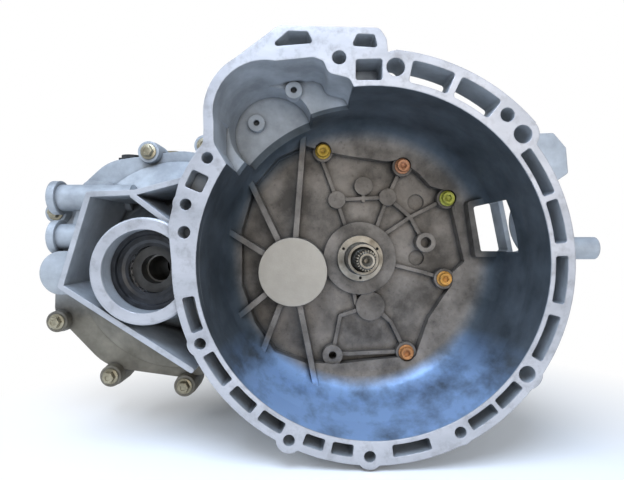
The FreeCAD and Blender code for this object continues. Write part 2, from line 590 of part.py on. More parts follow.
# ---------------------------------------------------------------- gears
def gear(teeth, module, y0, y1, centre, facing, backlash=BACKLASH, bore=0.0):
    """Spur gear with straight-sided involute chords. A tooth points at the angle facing (degrees)."""
    pitch_r = teeth * module / 2
    root_r = pitch_r - 1.25 * module
    tip_r = pitch_r + module
    half = (math.pi * module / 2 - backlash / 2) / (2 * pitch_r)
    base_r = pitch_r * math.cos(PRESSURE_ANGLE)

    def involute(r):
        a = math.acos(min(1.0, base_r / r))
        return math.tan(a) - a

    def half_at(r):
        return half + involute(pitch_r) - involute(max(r, base_r))
    points = []
    for i in range(teeth):
        middle = math.radians(facing) + 2 * math.pi * i / teeth
        for r, side in ((root_r, -1), (tip_r, -1), (tip_r, 1), (root_r, 1)):
            a = middle + side * half_at(r)
            points.append(Vector(centre[0] + r * math.cos(a), y0, centre[1] + r * math.sin(a)))
    solid = Part.Face(Part.makePolygon(points + points[:1])).extrude(Vector(0, y1 - y0, 0))
    return solid.cut(disc(centre, bore, y0 - 1, y1 + 1)) if bore else solid


TO_OUTPUT = OUTPUT_BEARING_ANGLE
TO_DIFF = DIFF_ANGLE

# name: (teeth on the input shaft, teeth on the output shaft, front face)
SPEEDS = {"first": (14, 54, 166.0), "second": (22, 46, 204.0), "third": (29, 39, 226.0),
          "fourth": (34, 34, 264.0), "fifth": (38, 30, 318.0)}
SLEEVES = {"sleeve_first_second": 191.0, "sleeve_third_fourth": 251.0, "sleeve_fifth": 343.0}
PINION_TEETH = 16
RING_TEETH = 71
FINAL_Y = (134.0, 160.0)
REVERSE_TEETH = (13, 24, 38)
SLEEVE_BORE_R = 30.0
GROOVE_R = 33.0
JOURNAL_R = 18.0
REAR_JOURNAL_R = 15.0


def drive_facing(teeth):
    return TO_OUTPUT


def driven_facing(teeth):
    """The output gear shows a tooth gap to the input shaft."""
    return TO_OUTPUT + 180 + 180.0 / teeth


def idler(name):
    drive, driven, y = SPEEDS[name]
    journal = REAR_JOURNAL_R if name == "fifth" else JOURNAL_R
    solid = gear(driven, MODULE, y, y + GEAR_W, OUTPUT, driven_facing(driven))
    towards = -1 if name in ("second", "fourth") else 1
    face = y if towards < 0 else y + GEAR_W
    y0, y1 = sorted((face, face + 5 * towards))
    solid = solid.fuse(disc(OUTPUT, SLEEVE_BORE_R - 0.3, y0 - 0.5, y1))
    if driven > 40:
        for side in (y - 1, y + GEAR_W - 2.5):
            if abs(side - y0) > 6:
                solid = solid.cut(ring(OUTPUT, driven - 8, 26, side, side + 3.5))
    return solid.cut(disc(OUTPUT, journal + 0.05, y - 10, y + GEAR_W + 10))


def input_shaft():
    spline = gear(22, 0.9, 48, 78, INPUT, 0, 0.2)
    z1, _, y1 = SPEEDS["first"]
    z2, _, y2 = SPEEDS["second"]
    body = turned([(0, 46), (7.6, 46), (8.7, 48), (8.7, 78), (10.6, 80), (12.4, 84), (12.4, 121), (15, 121), (15, 138),
                   (17, 138), (17, 141), (12, 142), (12, 219), (16, 220), (16, 294), (15, 294), (15, 312),
                   (14, 312), (14, 338), (10, 338), (10, 348), (0, 348)])
    shaft = fused([body, spline, gear(z1, MODULE, y1 - 1, y1 + GEAR_W + 1, INPUT, drive_facing(z1)),
                   gear(REVERSE_TEETH[0], MODULE, 186, 197, INPUT, 0),
                   gear(z2, MODULE, y2 - 1, y2 + GEAR_W + 1, INPUT, drive_facing(z2))])
    return without(shaft, [disc(INPUT, 2.6, 40, 60), taper(INPUT, 6.0, 2.6, 45.5, 50)])


def pressed_drive(name):
    z, _, y = SPEEDS[name]
    bore = 14.0 if name == "fifth" else 16.0
    return gear(z, MODULE, y, y + GEAR_W, INPUT, drive_facing(z), bore=bore)


def output_shaft():
    body = turned([(0, 103), (13, 103), (15, 105), (15, 121), (20, 121), (20, 161), (22, 161), (22, 165), (JOURNAL_R, 165.5),
                   (JOURNAL_R, 294), (15, 294), (REAR_JOURNAL_R, 356), (10, 356), (10, 362), (0, 362)], OUTPUT)
    pinion = gear(PINION_TEETH, FINAL_MODULE, *FINAL_Y, OUTPUT, TO_DIFF)
    return body.fuse(pinion)


def sleeve(name):
    y = SLEEVES[name]
    solid = ring(OUTPUT, 36, SLEEVE_BORE_R, y - 6.5, y + 6.5)
    groove = (y + 0.5, y + 4.5) if name == "sleeve_first_second" else (y - 2.5, y + 2.5)
    if name == "sleeve_first_second":
        solid = solid.fuse(gear(REVERSE_TEETH[2], MODULE, y - 6.5, y, OUTPUT, 0, bore=34))
    return solid.cut(ring(OUTPUT, 50, GROOVE_R, *groove))


def hub(name):
    y = SLEEVES[name]
    bore = REAR_JOURNAL_R if name == "sleeve_fifth" else JOURNAL_R
    solid = ring(OUTPUT, SLEEVE_BORE_R - 0.08, bore, y - 6.5, y + 6.5)
    return without(solid, [disc(polar(23.5, a, *OUTPUT), 2.5, y - 8, y + 8) for a in range(0, 360, 60)])


def fork(name):
    """Shift fork: a C round the sleeve's groove and a hub that slides on the rail."""
    y = SLEEVES[name]
    y0, y1 = (y + 0.6, y + 4.4) if name == "sleeve_first_second" else (y - 2.4, y + 2.4)
    aim = math.degrees(math.atan2(RAIL[1] - OUTPUT[1], RAIL[0] - OUTPUT[0]))
    claw = sector(GROOVE_R + 0.1, 43, aim - 100, aim + 100, y0, y1, OUTPUT, 1.0)
    arm = prism([(*polar(40, aim - 34, *OUTPUT), 2), (RAIL[0] + 9, RAIL[1] - 1, 1), (RAIL[0] - 9, RAIL[1] + 1, 1),
                 (*polar(40, aim + 34, *OUTPUT), 2)], y0, y1)
    solid = fused([claw, arm, disc(RAIL, 10.5, y - 10, y + 10)])
    solid = solid.cut(disc(OUTPUT, GROOVE_R + 0.1, y - 20, y + 20))
    return solid.cut(disc(RAIL, RAIL_R + 0.05, y - 12, y + 12))


def roller_bearing(centre, y, outer_r, inner_r, width):
    """Outer race and, as one piece, inner race with its caged rollers."""
    gap = outer_r - inner_r
    outer_race = ring(centre, outer_r, outer_r - gap * 0.25, y, y + width)
    track_in, track_out = inner_r + gap * 0.3, outer_r - gap * 0.25
    roller = (track_out - track_in) / 2
    middle = (track_out + track_in) / 2
    inner_race = ring(centre, track_in, inner_r, y, y + width)
    cage = ring(centre, middle + roller * 0.35, middle - roller * 0.35, y + 2, y + width - 2)
    count = int(2 * math.pi * middle / (roller * 2.7))
    rollers = [disc(polar(middle, 360.0 * i / count, *centre), roller - 0.04, y + 3, y + width - 3)
               for i in range(count)]
    track = ring(centre, track_in + 0.3, inner_r, y + 3, y + width - 3)
    return outer_race, fused([inner_race, cage, track] + rollers)


# ---------------------------------------------------------------- differential
CROSS_Y = 131.0
CAVITY_R = 39.0
NECK_R = 22.5


def diff_case():
    body = turned([(14.05, 40), (NECK_R, 40), (NECK_R, 67), (30, 67.5), (44, 84), (44, 145), (56, 150), (56, 160),
                   (70, 160), (70, 165.5), (44, 170), (44, 186), (30, 194), (NECK_R, 195.5), (NECK_R, 222),
                   (14.05, 222)], DIFF)
    cavity = Part.makeSphere(CAVITY_R, Vector(DIFF[0], CROSS_Y, DIFF[1]))
    pin = Part.makeCylinder(8, 120, Vector(DIFF[0], CROSS_Y, DIFF[1] - 60))
    bolts = [disc(polar(63, a, *DIFF), 4, 155, 170) for a in range(15, 375, 45)]
    return body.cut(cavity).cut([pin] + bolts)


def ring_gear():
    gap_facing = TO_DIFF + 180 + 180.0 / RING_TEETH
    solid = gear(RING_TEETH, FINAL_MODULE, *FINAL_Y, DIFF, gap_facing, bore=56.0)
    solid = solid.cut(ring(DIFF, 94, 55, FINAL_Y[0] - 1, FINAL_Y[0] + 6))
    bolts = [disc(polar(63, a, *DIFF), 4, 135, 170) for a in range(15, 375, 45)]
    return without(solid, bolts)


def ring_bolts():
    bolts = []
    for a in range(15, 375, 45):
        at = polar(63, a, *DIFF)
        bolts.append(disc(at, 4, 139, 165).fuse(hexagon(at, 6.5, 135, 140)))
    return fused(bolts)


def cross_pin():
    return Part.makeCylinder(8, 87, Vector(DIFF[0], CROSS_Y, DIFF[1] - 43.5))


def spider_gears():
    gears = []
    for sign in (-1, 1):
        axis = Vector(0, 0, sign)
        start = Vector(DIFF[0], CROSS_Y, DIFF[1] + sign * 16)
        cone = Part.makeCone(15.6, 26.6, 11, start, axis)
        gears.append(cone.cut(Part.makeCylinder(8.05, 14, start - axis, axis)))
    return gears[0].fuse(gears[1])


def side_gears():
    gears = []
    for sign in (-1, 1):
        axis = Vector(0, sign, 0)
        start = Vector(DIFF[0], CROSS_Y + sign * 16, DIFF[1])
        cone = Part.makeCone(15.6, 26.6, 11, start, axis)
        stem = Part.makeCylinder(14.0, 50, start + axis * 10, axis)
        gears.append(cone.fuse(stem).cut(Part.makeCylinder(12.4, 80, start - axis, axis)))
    return gears[0].fuse(gears[1])


# ---------------------------------------------------------------- fastenings and fittings
def hexagon(centre, r, y0, y1, turn=0.0):
    points = [vec(polar(r, turn + 60 * i, *centre), y0) for i in range(6)]
    return Part.Face(Part.makePolygon(points + points[:1])).extrude(Vector(0, y1 - y0, 0))


def inner_bolt(at):
    """Flanged hexagon bolt, its head on the boss in the bell."""
    head = hexagon(at, 6.6, BOSS_FACE_Y - 7.5, BOSS_FACE_Y - 1, 12)
    flange = disc(at, 8.6, BOSS_FACE_Y - 1.8, BOSS_FACE_Y)
    return fused([head, flange, disc(at, INNER_BOLT_R, BOSS_FACE_Y - 1, SPLIT_Y + LUG_L - 5)])


def case_bolts():
    """Flanged bolts that hold the castings together, one in each lug."""
    bolts = []
    for at in LUGS:
        top = SPLIT_Y - LUG_L
        bolts.append(fused([hexagon(at, 6.8, top - 8, top), disc(at, 9, top - 2, top),
                            disc(at, LUG_BOLT_R, top - 1, SPLIT_Y + LUG_L - 5)]))
    return Part.makeCompound(bolts)


def cover_bolts():
    bolts = []
    for at in COVER_LUGS:
        seat = BACK_WALL_END_Y + 10
        bolts.append(fused([hexagon(at, 5.6, seat, seat + 6), disc(at, 7.6, seat, seat + 1.5),
                            disc(at, 3.2, BACK_WALL_END_Y - 20, seat + 1)]))
    return Part.makeCompound(bolts)


def plug(base, axis, depth):
    """Threaded plug with a flange and a square recess. base lies on the seat face."""
    flange = Part.makeCylinder(13.5, 5, base, axis)
    stem = Part.makeCylinder(9, depth, base - axis * depth, axis)
    return flange.fuse(stem).cut(Part.makeCylinder(5, 8, base - axis * 2, axis))


def lip_seal(centre, r_out, r_in, y0, y1):
    """Shaft seal: outer band, inner lip and the web that joins them."""
    return turned([(r_out, y0), (r_out, y1), (r_in + 1.2, y1), (r_in, y1 - 2), (r_in, y1 - 4), (r_in + 3, y1 - 4),
                   (r_in + 6, y0 + 3), (r_out - 5, y0 + 3), (r_out - 4, y0)], centre)


def guide_sleeve():
    """Tube round the input shaft that the release bearing runs on, with its fixing flange."""
    solid = turned([(13.6, 80), (16.2, 80), (17, 81), (17, 108), (18.5, 110), (25.5, 110.5), (26, 111), (26, 116),
                    (16.9, 116), (16.9, 120), (13.6, 120)])
    return without(solid, [disc(polar(21.8, a), 1.6, 109, 117) for a in (30, 150, 270)])


def selector_shaft():
    """Upright shaft with the outside lever, its ball pin and the finger inside."""
    x, y = SELECTOR
    shaft = Part.makeCylinder(SELECTOR_R, 136 - 72, Vector(x, y, 72))
    finger = Part.makeBox(20, 9, 10, Vector(x - 20, y - 4.5, 74))
    sweep = Part.makeCylinder(10, 12, Vector(x, y, 73))
    lever = Part.makeBox(56, 14, 6, Vector(x, y - 7, 126))
    eye = Part.makeCylinder(11, 6, Vector(x + 56, y, 126))
    clamp = Part.makeCylinder(15, 12, Vector(x, y, 120))
    ball = Part.makeCylinder(4, 14, Vector(x + 56, y, 131)).fuse(Part.makeSphere(6.5, Vector(x + 56, y, 148)))
    return fused([shaft, finger, sweep, lever, eye, clamp, ball])


def selector_seal():
    x, y = SELECTOR
    band = Part.makeCylinder(13, 7, Vector(x, y, SELECTOR_BOSS_TOP - 7))
    return band.cut(Part.makeCylinder(SELECTOR_R + 0.05, 9, Vector(x, y, SELECTOR_BOSS_TOP - 8)))


def reverse_switch():
    """Reversing lamp switch on the case's top, with its plug socket."""
    base = Vector(-278, 165, 88)
    up = Vector(0, 0, 1)
    return fused([Part.makeCylinder(8, 12, base, up), Part.makeCylinder(15, 6, base + up * 10, up),
                  Part.makeCylinder(12, 22, base + up * 15, up), Part.makeBox(16, 12, 10, Vector(-292, 159, 112))])


SENDER_ANGLE = 142.0
SENDER_R = 111.0


def speed_sensor():
    """Plated sender, screwed slantwise into the dome."""
    x, z = polar(SENDER_R, SENDER_ANGLE, *DIFF)
    base = Vector(x, 163, z)
    out = vec(polar(1, SENDER_ANGLE))
    return fused([Part.makeCylinder(7, 16, base, out), Part.makeCylinder(11, 18, base + out * 12, out),
                  Part.makeCylinder(8, 12, base + out * 28, out)])


def breather():
    """Hooked vent tube on the dome."""
    path = Part.Wire([
        Part.makeLine(Vector(-218, 170, 92), Vector(-218, 170, 120)),
        Part.Arc(Vector(-218, 170, 120), Vector(-220.3, 170, 125.7), Vector(-226, 170, 128)).toShape(),
        Part.makeLine(Vector(-226, 170, 128), Vector(-262, 170, 128)),
    ])
    circle = Part.Wire(Part.makeCircle(4.5, Vector(-218, 170, 92), Vector(0, 0, 1)))
    return path.makePipeShell([circle], True, False)


def casting_holes(case):
    """Threads for the fittings on the dome."""
    switch_hole = Part.makeCylinder(8, 34, Vector(-278, 165, 70))
    x, z = polar(SENDER_R - 8, SENDER_ANGLE, *DIFF)
    out = vec(polar(1, SENDER_ANGLE))
    sender_hole = Part.makeCylinder(7, 24, Vector(x, 163, z), out)
    vent_hole = Part.makeCylinder(4.5, 30, Vector(-218, 170, 80))
    x0, z0 = polar(SENDER_R - 4, SENDER_ANGLE, *DIFF)
    pads = [Part.makeCylinder(15.5, 24, Vector(-278, 165, 74)), Part.makeCylinder(12, 16, Vector(x0, 163, z0), out)]
    case = fused([case] + pads)
    case = case.cut(disc(DIFF, RING_ROOM_R - 1, SPLIT_Y - 1, 163))
    return without(case, [switch_hole, sender_hole, vent_hole])


NODES = {}


def build():
    NODES["clutch_housing"] = clutch_housing()
    NODES["gear_case"] = casting_holes(gear_case())
    NODES["rear_cover"] = rear_cover()
    NODES["guide_sleeve"] = guide_sleeve()
    NODES["input_shaft"] = input_shaft()
    NODES["output_shaft"] = output_shaft()
    for name in SPEEDS:
        NODES[name + "_gear"] = idler(name)
    for name in ("third", "fourth", "fifth"):
        NODES[name + "_drive"] = pressed_drive(name)
    for name in SLEEVES:
        NODES[name] = sleeve(name)
        NODES[name.replace("sleeve", "hub")] = hub(name)
        NODES[name.replace("sleeve", "fork")] = fork(name)
    NODES["shift_rail"] = disc(RAIL, RAIL_R, FLOOR_Y + 2, 360)
    NODES["reverse_pin"] = disc(REVERSE, REVERSE_PIN_R, FLOOR_Y + 2, 164)
    NODES["reverse_idler"] = gear(REVERSE_TEETH[1], MODULE, 145, 157, REVERSE, 0, bore=REVERSE_PIN_R + 0.05)
    NODES["ring_gear"] = ring_gear()
    NODES["ring_bolts"] = ring_bolts()
    NODES["diff_case"] = diff_case()
    NODES["cross_pin"] = cross_pin()
    NODES["spider_gears"] = spider_gears()
    NODES["side_gears"] = side_gears()
    bearings = {
        "input_front_bearing": (INPUT, SPLIT_Y - BEARING_W, BEARING_R, 15.0, BEARING_W),
        "input_rear_bearing": (INPUT, BACK_WALL_Y, BEARING_R, 15.0, BEARING_W),
        "output_front_bearing": (OUTPUT, 104.0, BEARING_R, 15.0, BEARING_W),
        "output_rear_bearing": (OUTPUT, BACK_WALL_Y, BEARING_R, 15.0, BEARING_W),
        "diff_front_bearing": (DIFF, DIFF_BEARING_Y, DIFF_BEARING_R, NECK_R, DIFF_BEARING_W),
        "diff_rear_bearing": (DIFF, REAR_BEARING_Y, DIFF_BEARING_R, NECK_R, DIFF_BEARING_W),
    }
    for name, sizes in bearings.items():
        NODES[name + "_outer"], NODES[name + "_inner"] = roller_bearing(*sizes)
    NODES["diff_front_seal"] = lip_seal(DIFF, SEAL_SEAT_R, NECK_R + 0.1, 26, 34)
    NODES["diff_rear_seal"] = lip_seal(DIFF, SEAL_SEAT_R, NECK_R + 0.1, REAR_FACE_Y - 14, REAR_FACE_Y - 6)
    for number, at in enumerate(INNER_BOLTS, start=1):
        NODES["inner_bolt_%d" % number] = inner_bolt(at)
    NODES["case_bolts"] = case_bolts()
    NODES["cover_bolts"] = cover_bolts()
    NODES["drain_plug"] = plug(Vector(*DRAIN, DRAIN_Z), Vector(0, 0, -1), 14)
    NODES["filler_plug"] = plug(Vector(58, *FILLER), Vector(1, 0, 0), 12)
    NODES["breather"] = breather()
    NODES["reverse_switch"] = reverse_switch()
    NODES["speed_sensor"] = speed_sensor()
    NODES["selector_shaft"] = selector_shaft()
    NODES["selector_seal"] = selector_seal()


def main():
    build()
    os.makedirs(PARTS_FOLDER, exist_ok=True)
    for name, shape in NODES.items():
        print(name, len(shape.Solids), "solids", round(shape.Volume / 1000, 1), "cm3", shape.isValid())
        shape.exportStep(os.path.join(PARTS_FOLDER, name + ".step"))


main()
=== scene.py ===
import json
import math

import bmesh
import bpy
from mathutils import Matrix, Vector


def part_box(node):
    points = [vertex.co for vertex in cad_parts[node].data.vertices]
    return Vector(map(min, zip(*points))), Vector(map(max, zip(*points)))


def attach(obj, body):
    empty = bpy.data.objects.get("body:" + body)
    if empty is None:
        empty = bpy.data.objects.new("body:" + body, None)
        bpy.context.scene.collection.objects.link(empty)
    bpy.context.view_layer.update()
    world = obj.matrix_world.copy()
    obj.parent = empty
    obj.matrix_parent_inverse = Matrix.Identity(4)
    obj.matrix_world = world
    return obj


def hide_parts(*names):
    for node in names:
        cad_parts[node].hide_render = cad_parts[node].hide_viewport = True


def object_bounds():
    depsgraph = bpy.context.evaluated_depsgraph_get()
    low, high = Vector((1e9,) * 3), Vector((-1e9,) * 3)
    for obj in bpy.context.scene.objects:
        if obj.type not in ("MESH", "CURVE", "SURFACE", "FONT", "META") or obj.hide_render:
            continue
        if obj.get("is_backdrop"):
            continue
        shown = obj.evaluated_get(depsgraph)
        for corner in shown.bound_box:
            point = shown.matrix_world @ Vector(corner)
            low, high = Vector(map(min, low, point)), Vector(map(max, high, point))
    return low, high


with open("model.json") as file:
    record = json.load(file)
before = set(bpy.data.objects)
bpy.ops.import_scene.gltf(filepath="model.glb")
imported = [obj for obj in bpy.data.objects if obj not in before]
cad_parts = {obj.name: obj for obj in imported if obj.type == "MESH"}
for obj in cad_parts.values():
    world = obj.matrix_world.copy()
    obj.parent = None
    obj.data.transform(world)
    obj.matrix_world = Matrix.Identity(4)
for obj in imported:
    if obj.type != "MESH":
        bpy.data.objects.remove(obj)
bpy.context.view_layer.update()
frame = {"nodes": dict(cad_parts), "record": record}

bl_info = {
    "name": "Manual Transaxle",
    "version": (1, 0, 0),
    "blender": (4, 5, 0),
    "location": "View3D > Sidebar > Transaxle",
    "description": "Castings, gear train and fittings of a manual transaxle, seen into the bell",
    "category": "Object",
}

ROOT = "castings"
MM = 0.001

# Where the bell's finishes end, in metres. Each pair is (none of it, all of it).
RIM_FACE_Y = (0.0008, 0.0003)         # the milled rim at the engine face
BELL_START_Y = (0.0008, 0.002)        # the cast wall behind it
BELL_WALL_R = (0.1590, 0.1582)
FLOOR_START_Y = (0.094, 0.099)        # the ribbed floor
FLOOR_EDGE_R = (0.144, 0.132)
DISC_EDGE_R = (0.0392, 0.0386)        # the bare disc in front of the output shaft
DISC_FACE_Y = (0.092, 0.0956)
LOW_WALL_Z = (-0.075, -0.118)         # the painted blue sky reflection on the lower wall
LOW_WALL_Y = (0.118, 0.104)
NECK_R = (0.0486, 0.0478)             # the turned end of the differential's neck
NECK_Y = (0.0075, 0.0065)
FRAME_EDGE_Y = (0.0115, 0.0125)       # the milled edge of the box frame
FRAME_EDGE_X = (-0.150, -0.155)
DARKER_LOW_Z = (0.0, -0.07)                 # darker and browner on the outside, low and far back
DARKER_BACK_Y = (0.05, 0.10)

JOINT_HEAD = (6.8, 9.0, 8.0)          # across, flange radius and height of a bolt head, in mm
COVER_HEAD = (5.6, 7.6, 6.0)
INNER_HEAD = (6.9, 8.8, 7.5)
INNER_SOCKET = 3.6
HEADS_APART = 30.0                    # no two bolts of one node are as near as this, in mm

CAMERA_AT = (-0.0543, -0.400, 0.0207)
LAMPS = {                             # place, target, size and colour
    "sky": ((-0.15, -0.50, 0.85), (0.02, 0.08, -0.12), 0.7, "#D5E6FF"),
    "fill": ((0.35, -1.3, 0.25), (0.0, 0.1, 0.0), 1.0, "#FFF4E6"),
    "side": ((-1.1, -0.2, 0.7), (-0.2, 0.15, 0.0), 0.8, "#E6F1FF"),
}
FLOOR_DROP = 0.002                    # the floor lies this far under the part
FLOOR_FADE = (0.22, 0.50)             # the floor turns white between these distances
AMBIENT = ("#DDE6F0", 0.6)


# ---------------------------------------------------------------- colours and places
def srgb(code):
    """Linear colour of a hex sRGB code."""
    values = [int(code[i:i + 2], 16) / 255 for i in (1, 3, 5)]
    return tuple(v / 12.92 if v <= 0.04045 else ((v + 0.055) / 1.055) ** 2.4 for v in values)


def centre(node):
    low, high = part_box(node)
    return (Vector(low) + Vector(high)) / 2


def front(node):
    """Y of the face nearest to the engine."""
    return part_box(node)[0][1]


OUTPUT = centre("output_rear_bearing_outer")
DIFF = centre("diff_front_bearing_outer")


# ---------------------------------------------------------------- materials
class Shader:
    """Small helper that adds nodes to a material and links them."""

    def __init__(self, name):
        self.material = bpy.data.materials.new(name)
        self.material.use_nodes = True
        self.tree = self.material.node_tree
        self.bsdf = self.tree.nodes["Principled BSDF"]
        self.place = self.node("ShaderNodeTexCoord").outputs["Object"]
        self.axes = None

    def node(self, kind, inputs=None, **settings):
        made = self.tree.nodes.new(kind)
        for key, value in settings.items():
            setattr(made, key, value)
        for key, value in (inputs or {}).items():
            self.put(made.inputs[key], value)
        return made

    def put(self, socket, value):
        if isinstance(value, bpy.types.NodeSocket):
            self.tree.links.new(value, socket)
        elif isinstance(value, tuple) and len(value) == 3 and socket.type == "RGBA":
            socket.default_value = (*value, 1)
        else:
            socket.default_value = value

    def math(self, operation, a, b=0.0, c=0.0, clamp=False):
        made = self.node("ShaderNodeMath", {0: a, 1: b, 2: c}, operation=operation, use_clamp=clamp)
        return made.outputs[0]

    def xyz(self):
        if self.axes is None:
            made = self.node("ShaderNodeSeparateXYZ", {0: self.place})
            self.axes = (made.outputs[0], made.outputs[1], made.outputs[2])
        return self.axes

    def ramp(self, value, low, high):
        """0 at low and 1 at high, straight between them."""
        made = self.node("ShaderNodeMapRange", {"Value": value, "From Min": low, "From Max": high})
        return made.outputs["Result"]

    def within(self, value, low, high, soft=0.001):
        up = self.ramp(value, low - soft, low + soft)
        down = self.ramp(value, high + soft, high - soft)
        return self.math("MULTIPLY", up, down)

    def radius(self, about=(0.0, 0.0, 0.0)):
        """Distance from an axis along Y."""
        x, _, z = self.xyz()
        dx = self.math("SUBTRACT", x, about[0])
        dz = self.math("SUBTRACT", z, about[2])
        squares = self.math("ADD", self.math("MULTIPLY", dx, dx), self.math("MULTIPLY", dz, dz))
        return self.math("SQRT", squares)

    def noise(self, scale, detail=4.0, rough=0.55, stretch=None):
        place = self.place
        if stretch:
            place = self.node("ShaderNodeVectorMath", {0: place, 1: stretch}, operation="MULTIPLY").outputs[0]
        inputs = {"Vector": place, "Scale": scale, "Detail": detail, "Roughness": rough}
        return self.node("ShaderNodeTexNoise", inputs).outputs["Fac"]

    def mix(self, amount, first, second, blend="MIX"):
        made = self.node("ShaderNodeMix", data_type="RGBA", blend_type=blend)
        self.put(made.inputs[0], amount)
        self.put(made.inputs[6], first)
        self.put(made.inputs[7], second)
        return made.outputs[2]

    def blend(self, amount, first, second):
        made = self.node("ShaderNodeMix", data_type="FLOAT")
        self.put(made.inputs[0], amount)
        self.put(made.inputs[2], first)
        self.put(made.inputs[3], second)
        return made.outputs[0]

    def relief(self, height, distance, strength=1.0, edge=0.0006):
        """Bump on top of slightly rounded edges."""
        rounded = self.node("ShaderNodeBevel", {"Radius": edge}, samples=4).outputs[0]
        made = self.node("ShaderNodeBump", {"Strength": strength, "Distance": distance, "Height": height,
                                            "Normal": rounded})
        self.put(self.bsdf.inputs["Normal"], made.outputs[0])

    def with_painted_shade(self, colour, distance=0.007, depth=0.75):
        """Painted shade: darkens the colour in corners and grooves, where the ambient occlusion node finds
        them closed in.
        """
        made = self.node("ShaderNodeAmbientOcclusion", {"Distance": distance}, samples=6)
        painted_shade = self.math("MULTIPLY", self.ramp(made.outputs["AO"], 0.85, 0.3), depth)
        return self.mix(painted_shade, colour, srgb("#16171A"))

    def finish(self, colour, rough, metal):
        self.put(self.bsdf.inputs["Base Color"], colour)
        self.put(self.bsdf.inputs["Roughness"], rough)
        self.put(self.bsdf.inputs["Metallic"], metal)
        return self.material


def grain(shader, scale=900.0):
    """Fine sand-cast grain over a slower waviness."""
    fine = shader.noise(scale, 3.0, 0.6)
    slow = shader.noise(60.0, 2.0, 0.5)
    return shader.math("ADD", shader.math("MULTIPLY", fine, 0.35), slow)


def bell_material(look):
    """Clutch housing: machined faces, painted shade on the upper bell, oily floor and a painted blue sky
    reflection on the lower wall.
    """
    s = Shader("bell_casting")
    x, y, z = s.xyz()
    r = s.radius()
    blotch = s.noise(26.0, 6.0, 0.62)
    speck = s.noise(240.0, 5.0, 0.7)
    outside = s.mix(s.ramp(blotch, 0.35, 0.68), srgb("#8C9196"), tuple(look.casting))
    # Painted shade: the inside of the bell is much darker than the outside casting, most of all high up,
    # where the wall faces away from the light.
    inside_shade_and_sheen = s.mix(s.ramp(blotch, 0.35, 0.7), srgb("#3B4349"), tuple(look.bell))
    floor = s.mix(s.ramp(blotch, 0.36, 0.66), srgb("#4F4A44"), tuple(look.floor))
    floor = s.mix(s.math("MULTIPLY", s.ramp(speck, 0.55, 0.75), 0.5), floor, srgb("#2C2A28"))
    # Painted blue sky reflection: a pale blue tint in patches on the lower wall of the bell, which faces up
    # to the light.
    low = s.math("MULTIPLY", s.ramp(z, *LOW_WALL_Z), s.ramp(y, *LOW_WALL_Y))
    sheen_patches = s.ramp(s.noise(19.0, 5.0, 0.62, (1.0, 0.6, 1.4)), 0.33, 0.58)
    inside_shade_and_sheen = s.mix(s.math("MULTIPLY", low, sheen_patches), inside_shade_and_sheen, tuple(look.painted_sky_sheen))
    in_bell = s.math("MULTIPLY", s.ramp(y, *BELL_START_Y), s.ramp(r, *BELL_WALL_R))
    floor_part = s.math("MULTIPLY", s.ramp(y, *FLOOR_START_Y), s.ramp(r, *FLOOR_EDGE_R))
    on_floor = s.math("MULTIPLY", in_bell, floor_part)
    disc_face = s.math("MULTIPLY", s.ramp(s.radius(OUTPUT), *DISC_EDGE_R), s.within(y, *DISC_FACE_Y))
    on_disc = s.math("MULTIPLY", disc_face, in_bell)
    # Darker and browner on the outside of the bell, low down and far back.
    low_and_back_mask = s.math("MULTIPLY", s.ramp(z, *DARKER_LOW_Z), s.ramp(y, *DARKER_BACK_Y))
    outside = s.mix(low_and_back_mask, outside, s.mix(s.ramp(blotch, 0.3, 0.7), srgb("#4E493F"), srgb("#8A8476")))
    colour = s.mix(in_bell, outside, inside_shade_and_sheen)
    colour = s.mix(on_floor, colour, floor)
    colour = s.mix(on_disc, colour, s.mix(blotch, srgb("#8E8679"), srgb("#B9B1A4")))
    face = s.ramp(y, *RIM_FACE_Y)
    neck = s.math("MULTIPLY", s.ramp(s.radius(DIFF), *NECK_R), s.ramp(y, *NECK_Y))
    frame_edge = s.math("MULTIPLY", s.within(y, *FRAME_EDGE_Y, 0.0003), s.ramp(x, *FRAME_EDGE_X))
    machined = s.math("MAXIMUM", face, s.math("MAXIMUM", neck, s.math("MULTIPLY", frame_edge, 0.7)))
    swirl = s.noise(14.0, 5.0, 0.6, (1.0, 1.0, 2.5))
    stain = s.ramp(s.noise(70.0, 6.0, 0.7), 0.50, 0.68)
    bare = s.mix(s.ramp(swirl, 0.3, 0.7), srgb("#A2A3A7"), tuple(look.machined))
    bare = s.mix(s.math("MULTIPLY", stain, 0.55), bare, srgb("#7E7C7C"))
    # Painted shade darkens the corners and grooves of the bell casting.
    colour = s.with_painted_shade(s.mix(machined, colour, bare))
    rough = s.blend(machined, s.blend(s.math("MULTIPLY", low, sheen_patches), 0.52, 0.34), 0.36)
    metal = s.blend(machined, s.blend(in_bell, 0.25, 0.35), 0.35)
    height = s.math("MULTIPLY", grain(s), s.math("SUBTRACT", 1.0, machined))
    s.relief(height, 0.0007, 0.8, 0.0012)
    return s.finish(colour, rough, metal)


def case_material(look):
    """Gear case and rear cover: weathered castings, browner low down."""
    s = Shader("case_casting")
    _, _, z = s.xyz()
    blotch = s.noise(22.0, 6.0, 0.6)
    pale = s.mix(s.ramp(blotch, 0.35, 0.7), srgb("#9AA3AB"), srgb("#C6CED6"))
    brown = s.mix(s.ramp(blotch, 0.35, 0.7), srgb("#5A554A"), tuple(look.case))
    # Painted shade darkens the corners and grooves of the gear case and rear cover.
    colour = s.with_painted_shade(s.mix(s.ramp(z, -0.05, 0.06), brown, pale))
    s.relief(grain(s), 0.0007, 0.8, 0.0012)
    return s.finish(colour, 0.55, 0.2)


